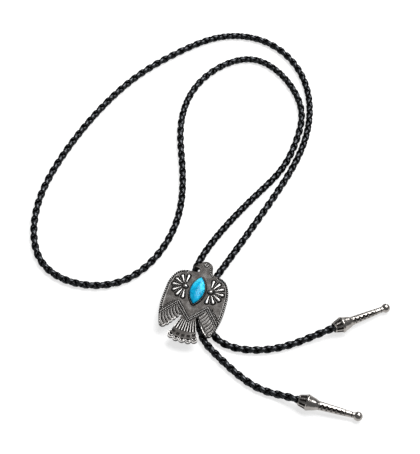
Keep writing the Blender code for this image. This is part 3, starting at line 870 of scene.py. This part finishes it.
class BOLO_OT_stone(Operator):
    """Domed pointed oval stone in the bezel"""

    bl_idname = "bolo.stone"
    bl_label = "Turquoise Stone"

    def execute(self, context):
        stone = context.scene.bolo_stone
        centre = (STONE_LOW + STONE_HIGH) / 2
        start_fresh()
        bpy.ops.mesh.primitive_uv_sphere_add(segments=128, ring_count=64, radius=1.0)
        cabochon = context.object
        cabochon.name = "cabochon"
        places = vertex_places(cabochon.data)
        around = np.arctan2(places[:, 1], places[:, 0])
        level = places[:, 2]
        reach = np.sqrt(np.clip(1 - level ** 2, 0, 1))
        half_length, half_width = stone.length / 2, stone.width / 2
        radius = oval_radius(half_length, half_width)
        offset = radius - half_width
        # Distances from the middle to the foot's pointed oval and to the crown's round one
        side = np.abs(np.cos(around))
        within = np.clip((offset * side) ** 2 + radius ** 2 - offset ** 2, 0, None)
        pointed = np.sqrt(within) - offset * side
        crown_length = half_length * CROWN_LENGTH
        oval = 1 / np.sqrt((np.cos(around) / half_width) ** 2 + (np.sin(around) / crown_length) ** 2)
        round_share = soft_step(level, 0.15, 0.9)
        rim = pointed * (1 - round_share) + oval * round_share
        dome = STONE_HIGH.z - STONE_LOW.z - stone.girdle
        upper = level >= 0
        foot = stone.girdle * (1 + np.clip(level * 6, -1, 0))
        height = np.where(upper, stone.girdle + dome * level, foot)
        spread = np.where(upper, reach, np.where(level > -0.17, 1.0, reach))
        places[:, 0] = centre.x + rim * spread * np.cos(around)
        places[:, 1] = centre.y + rim * spread * np.sin(around)
        places[:, 2] = STONE_LOW.z + height
        set_vertex_places(cabochon.data, places)
        bpy.ops.object.shade_smooth_by_angle(angle=radians(50))
        dress(cabochon, turquoise(stone), "stone")
        return {"FINISHED"}


# The clip


def plain_steel():
    finish = Finish("bent_steel_strip")
    scratches = finish.noise(3000.0, 3.0, (1, 0.05, 1))
    colour = finish.ramp(scratches, [(0.3, (0.30, 0.30, 0.31)), (0.7, (0.52, 0.52, 0.53))])
    finish.surface(Base_Color=colour, Metallic=1.0, Roughness=finish.span(scratches, 0.0, 1.0, 0.3, 0.5))
    finish.bump(scratches, 0.00002)
    return finish.material


class BOLO_OT_clip(Operator):
    """Steel finish of the clip behind the slide, whose solid stays"""

    bl_idname = "bolo.clip"
    bl_label = "Cord Clip"

    def execute(self, context):
        clip = bpy.data.objects["cord_clip"]
        clip.data.materials.clear()
        clip.data.materials.append(plain_steel())
        return {"FINISHED"}


# The cord


# How deep the cord's ends sit in the tips
CORD_INSET = 0.0034
# The curve through the route: the power of the spacing that it runs by, and its steps between two points
CURVE_POWER = 0.75
CURVE_STEPS = 60


def tip_frame(name, tip):
    """Mouth of the tip and the way from it to the ball, with ridge and ball on the ground."""
    (ridge_x, ridge_y), (ball_x, ball_y) = TIP_PLACES[name]
    ridge = Vector((ridge_x * MM, ridge_y * MM, tip.ridge_diameter / 2))
    ball = Vector((ball_x * MM, ball_y * MM, tip.ball_diameter / 2))
    way = (ball - ridge).normalized()
    return ridge - way * tip.ridge_at, way


def cord_centre(cord, tip):
    """Points along the cord's centre at even steps, from tip to tip, on a natural cubic curve."""
    radius = cord.diameter / 2
    ends = []
    for name in TIP_PLACES:
        mouth, way = tip_frame(name, tip)
        ends.append([mouth + way * CORD_INSET, mouth - way * MM])
    route = [(x * MM, y * MM, radius + lift * MM) for x, y, lift in CORD_ROUTE]
    places = np.array([tuple(p) for p in ends[0]] + route + [tuple(p) for p in reversed(ends[1])])
    steps = np.linalg.norm(np.diff(places, axis=0), axis=1) ** CURVE_POWER
    count = len(places)
    system = np.eye(count)
    target = np.zeros_like(places)
    for i in range(1, count - 1):
        system[i, i - 1:i + 2] = (steps[i - 1], 2 * (steps[i - 1] + steps[i]), steps[i])
        ahead = (places[i + 1] - places[i]) / steps[i]
        target[i] = 6 * (ahead - (places[i] - places[i - 1]) / steps[i - 1])
    bends = np.linalg.solve(system, target)
    share = np.linspace(0, 1, CURVE_STEPS + 1)[:-1, None]
    left = 1 - share
    fine = []
    for i in range(count - 1):
        bow = (left ** 3 - left) * bends[i] + (share ** 3 - share) * bends[i + 1]
        fine.append(left * places[i] + share * places[i + 1] + bow * steps[i] ** 2 / 6)
    fine = np.vstack(fine + [places[-1:]])
    fine[:, 2] = np.maximum(fine[:, 2], radius)
    walked = np.concatenate([[0], np.cumsum(np.linalg.norm(np.diff(fine, axis=0), axis=1))])
    rings = round(walked[-1] / cord.pitch * cord.steps)
    even = np.linspace(0, walked[-1], rings + 1)
    return np.column_stack([np.interp(even, walked, fine[:, axis]) for axis in range(3)]), even


def unit(vectors):
    return vectors / np.linalg.norm(vectors, axis=1)[:, None]


# The laces: how many, how far each swings in and out as a share of its thickness, how long it stays
# there, and how far its edges curl round the cord
LACES = 4
WEAVE_SWING = 0.42
WEAVE_HOLD = 1.6
LACE_CURL = 0.8
# How far the laces' crowns stand proud of the cord's radius
LACE_FULLNESS = 0.00025
# Points round a lace, and its section: 1 would be an ellipse, and less is squarer
LACE_CORNERS = 10
LACE_ROUNDNESS = 0.8


def squarish(part):
    return np.sign(part) * abs(part) ** LACE_ROUNDNESS


def lace_rings(centre, run, cord, index):
    """Rings of points round one of the four laces, and for each point how much it keeps of the leather's
    own colour against the painted shade of the braid's crevices.

    Two laces wind one way and two the other, over and under.
    """
    way = unit(np.gradient(centre, axis=0))
    side = unit(np.cross(np.array([0.0, 0.0, 1.0]), way))
    top = np.cross(way, side)
    wind = 1 if index < LACES / 2 else -1
    turn = 2 * pi * run / cord.pitch
    # The whole braid is rolled a little to and fro along its way
    roll = radians(40) + 1.1 * np.sin(run * 9) + 0.5 * np.sin(run * 23 + 1)
    angle = wind * turn + pi * (index % 2) + roll
    half_thick, half_wide = cord.lace_thickness / 2, cord.lace_width / 2
    weave = WEAVE_SWING * cord.lace_thickness
    mean = cord.diameter / 2 - half_thick - weave + LACE_FULLNESS
    lift = wind * np.tanh(WEAVE_HOLD * np.cos(2 * turn)) / np.tanh(WEAVE_HOLD)
    reach = mean + weave * lift
    out = np.cos(angle)[:, None] * side + np.sin(angle)[:, None] * top
    line = centre + reach[:, None] * out
    along = unit(np.gradient(line, axis=0))
    out = unit(out - (out * along).sum(axis=1)[:, None] * along)
    across = np.cross(along, out)
    rings, crowns_and_painted_shade = [], []
    for corner in range(LACE_CORNERS):
        spot = 2 * pi * corner / LACE_CORNERS
        wide = squarish(cos(spot)) * half_wide
        thick = squarish(sin(spot)) * half_thick
        curled = thick - LACE_CURL * wide ** 2 / cord.diameter
        rings.append(line + wide * across + curled * out)
        # Painted shade: a point darkens where its lace runs under the next one and towards the lace's
        # edges and inner side, with the laces' darker dyed edges painted along with it.
        crowns_and_painted_shade.append(soft_step(lift, -0.4, 0.9) * soft_step(sin(spot), 0.1, 0.95))
    rings = np.stack(rings, axis=1)
    # The braid's crowns are pressed flat where it lies on the ground
    rings[:, :, 2] = np.maximum(rings[:, :, 2], 0.0)
    return rings, np.stack(crowns_and_painted_shade, axis=1)


def black_leather(cord):
    finish = Finish("black_braided_leather")
    grain = finish.noise(34.0, 6.0, (1, 9, 1), "UV")
    pores = finish.noise(4200.0, 4.0)
    streaks = finish.ramp(grain, [(0.3, scaled(cord.colour, 0.5)), (0.7, scaled(cord.colour, 1.5))])
    # Near-black at a lace's edges, its inner side and where it runs under the next lace: painted shade,
    # with the laces' darker dyed edges painted along with it.
    leather = finish.mix(finish.attribute("crown_and_painted_shade"), cord.dark_edge_and_painted_shade_colour, streaks)
    # Waxed black leather: nearly all of its light is gloss, and little of that at its edges
    finish.surface(
        Base_Color=leather, Roughness=finish.span(grain, 0.2, 0.8, 0.15, 0.3), Metallic=0.88,
        Specular_IOR_Level=0.1, Specular_Tint=(0.12, 0.12, 0.12))
    finish.bump(finish.combine("ADD", finish.combine("MULTIPLY", grain, 0.7), pores), 0.00006, 0.8)
    return finish.material


class BOLO_OT_cord(Operator):
    """Round braid of four black leather laces, from tip to tip"""

    bl_idname = "bolo.cord"
    bl_label = "Braided Cord"

    def execute(self, context):
        cord, tip = context.scene.bolo_cord, context.scene.bolo_tip
        centre, run = cord_centre(cord, tip)
        vertices, faces, charts, crowns_and_painted_shade = [], [], [], []
        for index in range(LACES):
            rings, crown_and_painted_shade = lace_rings(centre, run, cord, index)
            rows, around, _ = rings.shape
            first = index * rows * around
            vertices.append(rings.reshape(-1, 3))
            crowns_and_painted_shade.append(crown_and_painted_shade.ravel())
            for row in range(rows - 1):
                for corner in range(around):
                    following = (corner + 1) % around
                    low, high = first + row * around, first + (row + 1) * around
                    faces.append((low + corner, low + following, high + following, high + corner))
                    left, right = corner / around, (corner + 1) / around
                    start, end = run[row] / cord.pitch, run[row + 1] / cord.pitch
                    charts += [start, left, start, right, end, right, end, left]
            for row, corners in ((0, range(around - 1, -1, -1)), (rows - 1, range(around))):
                faces.append(tuple(first + row * around + corner for corner in corners))
                charts += [0.0, 0.0] * around
        mesh = bpy.data.meshes.new("braided_cord")
        mesh.from_pydata(np.vstack(vertices), [], faces)
        mesh.uv_layers.new(name="lace").data.foreach_set("uv", charts)
        # Each point's mix of the leather's own colour and the painted shade goes on the mesh as an
        # attribute.
        set_attribute(mesh, "crown_and_painted_shade", np.concatenate(crowns_and_painted_shade))
        braid = add_object("braided_cord", mesh)
        pick(braid)
        edit_all()
        face_outwards()
        bpy.ops.object.shade_smooth()
        dress(braid, black_leather(cord), "cord")
        return {"FINISHED"}


# The tips


# The turned mesh: steps round it, the length of a step along it, steps along its ball, and the distance
# within which its points are one
TURNING_STEPS = 112
TURNING_LENGTH = 0.00016
BALL_STEPS = 32
MERGE_DISTANCE = 0.000005
# How much wider the socket is than the cord, on each side
SOCKET_PLAY = 0.0003


def tip_outline(tip, socket):
    """Radii and places along the tip, from the ball's end to the mouth and into the socket."""
    ball, ridge = tip.ball_diameter / 2, tip.ridge_diameter / 2
    rows = [(tip.length * share, ridge * radius) for share, radius in TIP_SECTIONS]
    rows += [
        (tip.ridge_at + 0.0006, ridge * 0.985),
        (tip.ridge_at + 0.0002, ridge),
        (tip.ridge_at - 0.0002, ridge * 0.99),
        (tip.ridge_at - 0.0007, ridge * 0.9),
        (tip.ridge_at * 0.7, ridge * 0.84),
        (tip.ridge_at * 0.35, ridge * 0.74),
        (0.0, socket + tip.wall),
    ]
    profile = []
    neck = tip.length - ball - np.sqrt(ball ** 2 - rows[0][1] ** 2)
    for step in range(BALL_STEPS + 1):
        angle = pi / 2 - step / BALL_STEPS * (pi / 2 + np.arccos(rows[0][1] / ball))
        profile.append((ball * cos(angle), tip.length - ball + ball * sin(angle)))
    rows[0] = (neck - 0.0001, rows[0][1])
    for (start, start_radius), (end, end_radius) in zip(rows, rows[1:]):
        count = max(1, round((start - end) / TURNING_LENGTH))
        for step in range(count):
            share = step / count
            radius = start_radius + (end_radius - start_radius) * share
            profile.append((radius, start + (end - start) * share))
    profile.append((rows[-1][1], 0.0))
    profile += [(socket, 0.0), (socket, tip.socket_depth), (0.0, tip.socket_depth)]
    profile[0] = (0.0, tip.length)
    return profile


# Three lanes of stamped marks: degrees from one to the next, and where the first runs as a share of them
LANE_DEGREES = 120
STAMP_LANE = 0.98
# In millimetres from the mouth: where the zigzag starts, its pitch, and the rings with their half widths
STAMP_START = 12.0
STAMP_PITCH = 2.66
TIP_RINGS = [(11.6, 0.14), (26.2, 0.16), (29.8, 0.2)]


def tip_stamps(around, along, tip):
    """How deep the flutes and stamped marks go, and how dark they are, on the tip's outer side."""
    z = along / MM
    flute = np.clip(np.cos(around * tip.flutes) + 0.35, 0, 1) ** 0.8
    depth = 0.42 * flute * soft_step(z, 0.5, 1.1) * (1 - soft_step(z, 3.8, 4.4))
    patterned = soft_step(z, 11.8, 12.2) * (1 - soft_step(z, 25.2, 25.6))
    lane = (np.degrees(around) / LANE_DEGREES - STAMP_LANE + 0.5) % 1.0 - 0.5
    zigzag = 2 * np.abs(((z - STAMP_START) / STAMP_PITCH) % 1 - 0.5) - 0.5
    ribbon = 1 - soft_step(np.abs(lane - 0.25 * zigzag), 0.11, 0.14)
    depth = np.maximum(depth, 0.2 * ribbon * patterned)
    spot_z = (z - STAMP_START) % STAMP_PITCH - STAMP_PITCH / 2
    spots = 1 - soft_step(np.hypot(spot_z / 0.62, (lane - 0.33) / 0.075), 0.8, 1.1)
    depth = np.maximum(depth, 0.16 * spots * patterned)
    for ring, half_width in TIP_RINGS:
        depth = np.maximum(depth, 0.16 * rounded(z - ring, half_width))
    return depth * MM, np.clip(depth / 0.14, 0, 1)


def stamped_silver(tip):
    finish = Finish("stamped_silver_plate")
    stamp = finish.attribute("stamp")
    tarnish = finish.span(finish.noise(340.0, 5.0), 0.35, 0.75, 0.0, 0.22)
    dark = finish.combine("ADD", stamp, tarnish)
    colour = finish.ramp(dark, [
        (0.0, tip.silver_colour),
        (0.3, scaled(tip.silver_colour, 0.62)),
        (0.75, tip.stamp_colour),
    ])
    finish.surface(Base_Color=colour, Metallic=1.0, Roughness=finish.span(dark, 0.0, 1.0, 0.19, 0.55))
    finish.bump(finish.noise(1500.0, 3.0), 0.00004, 0.4)
    return finish.material


class BOLO_OT_tips(Operator):
    """Two turned tips with fluted collars and stamped tapers"""

    bl_idname = "bolo.tips"
    bl_label = "Cord Tips"

    def execute(self, context):
        cord, tip = context.scene.bolo_cord, context.scene.bolo_tip
        socket = cord.diameter / 2 + SOCKET_PLAY
        profile = tip_outline(tip, socket)
        mesh = bpy.data.meshes.new("tip_lower_turned")
        edges = [(index, index + 1) for index in range(len(profile) - 1)]
        mesh.from_pydata([(x, 0.0, z) for x, z in profile], edges, [])
        turned = add_object("tip_lower_turned", mesh)
        pick(turned)
        edit_all()
        bpy.ops.mesh.spin(steps=TURNING_STEPS, angle=2 * pi, center=(0, 0, 0), axis=(0, 0, 1))
        bpy.ops.mesh.select_all(action="SELECT")
        bpy.ops.mesh.remove_doubles(threshold=MERGE_DISTANCE)
        face_outwards()
        places = vertex_places(mesh)
        reach = np.hypot(places[:, 0], places[:, 1])
        around = np.arctan2(places[:, 1], places[:, 0])
        depth, stamp = tip_stamps(around, places[:, 2], tip)
        outer = (reach > socket + 0.0002) | (places[:, 2] > tip.socket_depth + 0.0005)
        shrink = np.where(outer & (reach > 1e-5), 1 - depth / np.maximum(reach, 1e-5), 1.0)
        places[:, :2] *= shrink[:, None]
        set_vertex_places(mesh, places)
        set_attribute(mesh, "stamp", np.where(outer, stamp, 1.0))
        bpy.ops.object.shade_smooth_by_angle(angle=radians(45))
        silver = stamped_silver(tip)
        other = add_object("tip_upper_turned", mesh.copy())
        for name, piece in (("tip_lower", turned), ("tip_upper", other)):
            mouth, way = tip_frame(name, tip)
            turn = way.to_track_quat("Z", "Y").to_matrix().to_4x4()
            piece.data.transform(Matrix.Translation(mouth) @ turn)
            dress(piece, silver, name)
        return {"FINISHED"}


# The stage


def pale_floor(stage):
    finish = Finish("lit_table")
    finish.surface(
        Base_Color=stage.floor_colour, Emission_Color=(1.0, 1.0, 1.0),
        Emission_Strength=stage.floor_glow, Roughness=0.9, Specular_IOR_Level=0.1)
    return finish.material


def stand_facing(obj, place, aim):
    obj.location = place
    obj.rotation_euler = (Vector(aim) - Vector(place)).to_track_quat("-Z", "Y").to_euler()


def add_soft_light(name, place, size, power):
    light = bpy.data.lights.new(name, "AREA")
    light.shape = "DISK"
    light.size = size
    light.energy = power
    stand_facing(add_object(name, light), place, LIGHT_AIM)


class BOLO_OT_stage(Operator):
    """Pale floor, soft light and the camera"""

    bl_idname = "bolo.stage"
    bl_label = "Stage"

    def execute(self, context):
        stage = context.scene.bolo_stage
        start_fresh()
        bpy.ops.mesh.primitive_plane_add(size=FLOOR_SIZE, location=(0, 0, -FLOOR_DROP))
        floor = context.object
        floor.name = "floor"
        settle(floor)
        floor.data.materials.append(pale_floor(stage))
        world = bpy.data.worlds.new("soft_room")
        context.scene.world = world
        world.use_nodes = True
        backdrop = world.node_tree.nodes["Background"]
        backdrop.inputs["Color"].default_value = (0.96, 0.98, 1.0, 1.0)
        backdrop.inputs["Strength"].default_value = stage.room_light
        context.scene.view_settings.view_transform = "Standard"
        for light in SOFT_LIGHTS:
            add_soft_light(*light)
        camera = bpy.data.cameras.new("camera")
        camera.lens = stage.lens
        camera.sensor_width = 36.0
        camera.sensor_fit = "HORIZONTAL"
        camera.clip_start = 0.01
        stand = add_object("camera", camera)
        stand_facing(stand, stage.camera_place, stage.camera_aim)
        context.scene.camera = stand
        return {"FINISHED"}


class BOLO_PT_panel(Panel):
    """Buttons that build the bolo tie piece by piece"""

    bl_idname = "BOLO_PT_panel"
    bl_label = "Bolo Tie"
    bl_space_type = "VIEW_3D"
    bl_region_type = "UI"
    bl_category = "Bolo Tie"

    def draw(self, context):
        for operator in OPERATORS:
            self.layout.operator(operator.bl_idname)
        for name, group in SETTINGS.items():
            box = self.layout.box()
            box.label(text=group.__doc__)
            for setting in group.__annotations__:
                box.prop(getattr(context.scene, name), setting)


SETTINGS = {
    "bolo_slide": BoloSlideSettings,
    "bolo_stone": BoloStoneSettings,
    "bolo_cord": BoloCordSettings,
    "bolo_tip": BoloTipSettings,
    "bolo_stage": BoloStageSettings,
}
OPERATORS = (BOLO_OT_stage, BOLO_OT_tips, BOLO_OT_cord, BOLO_OT_clip, BOLO_OT_slide, BOLO_OT_stone)


def register():
    for group in SETTINGS.values():
        bpy.utils.register_class(group)
    for operator in OPERATORS:
        bpy.utils.register_class(operator)
    bpy.utils.register_class(BOLO_PT_panel)
    for name, group in SETTINGS.items():
        setattr(bpy.types.Scene, name, PointerProperty(type=group))


def unregister():
    for name in SETTINGS:
        delattr(bpy.types.Scene, name)
    bpy.utils.unregister_class(BOLO_PT_panel)
    for operator in reversed(OPERATORS):
        bpy.utils.unregister_class(operator)
    for group in reversed(list(SETTINGS.values())):
        bpy.utils.unregister_class(group)


def main():
    register()
    bpy.ops.bolo.stage()
    bpy.ops.bolo.tips()
    bpy.ops.bolo.cord()
    bpy.ops.bolo.clip()
    bpy.ops.bolo.slide()
    bpy.ops.bolo.stone()


if __name__ == "__main__":
    main()
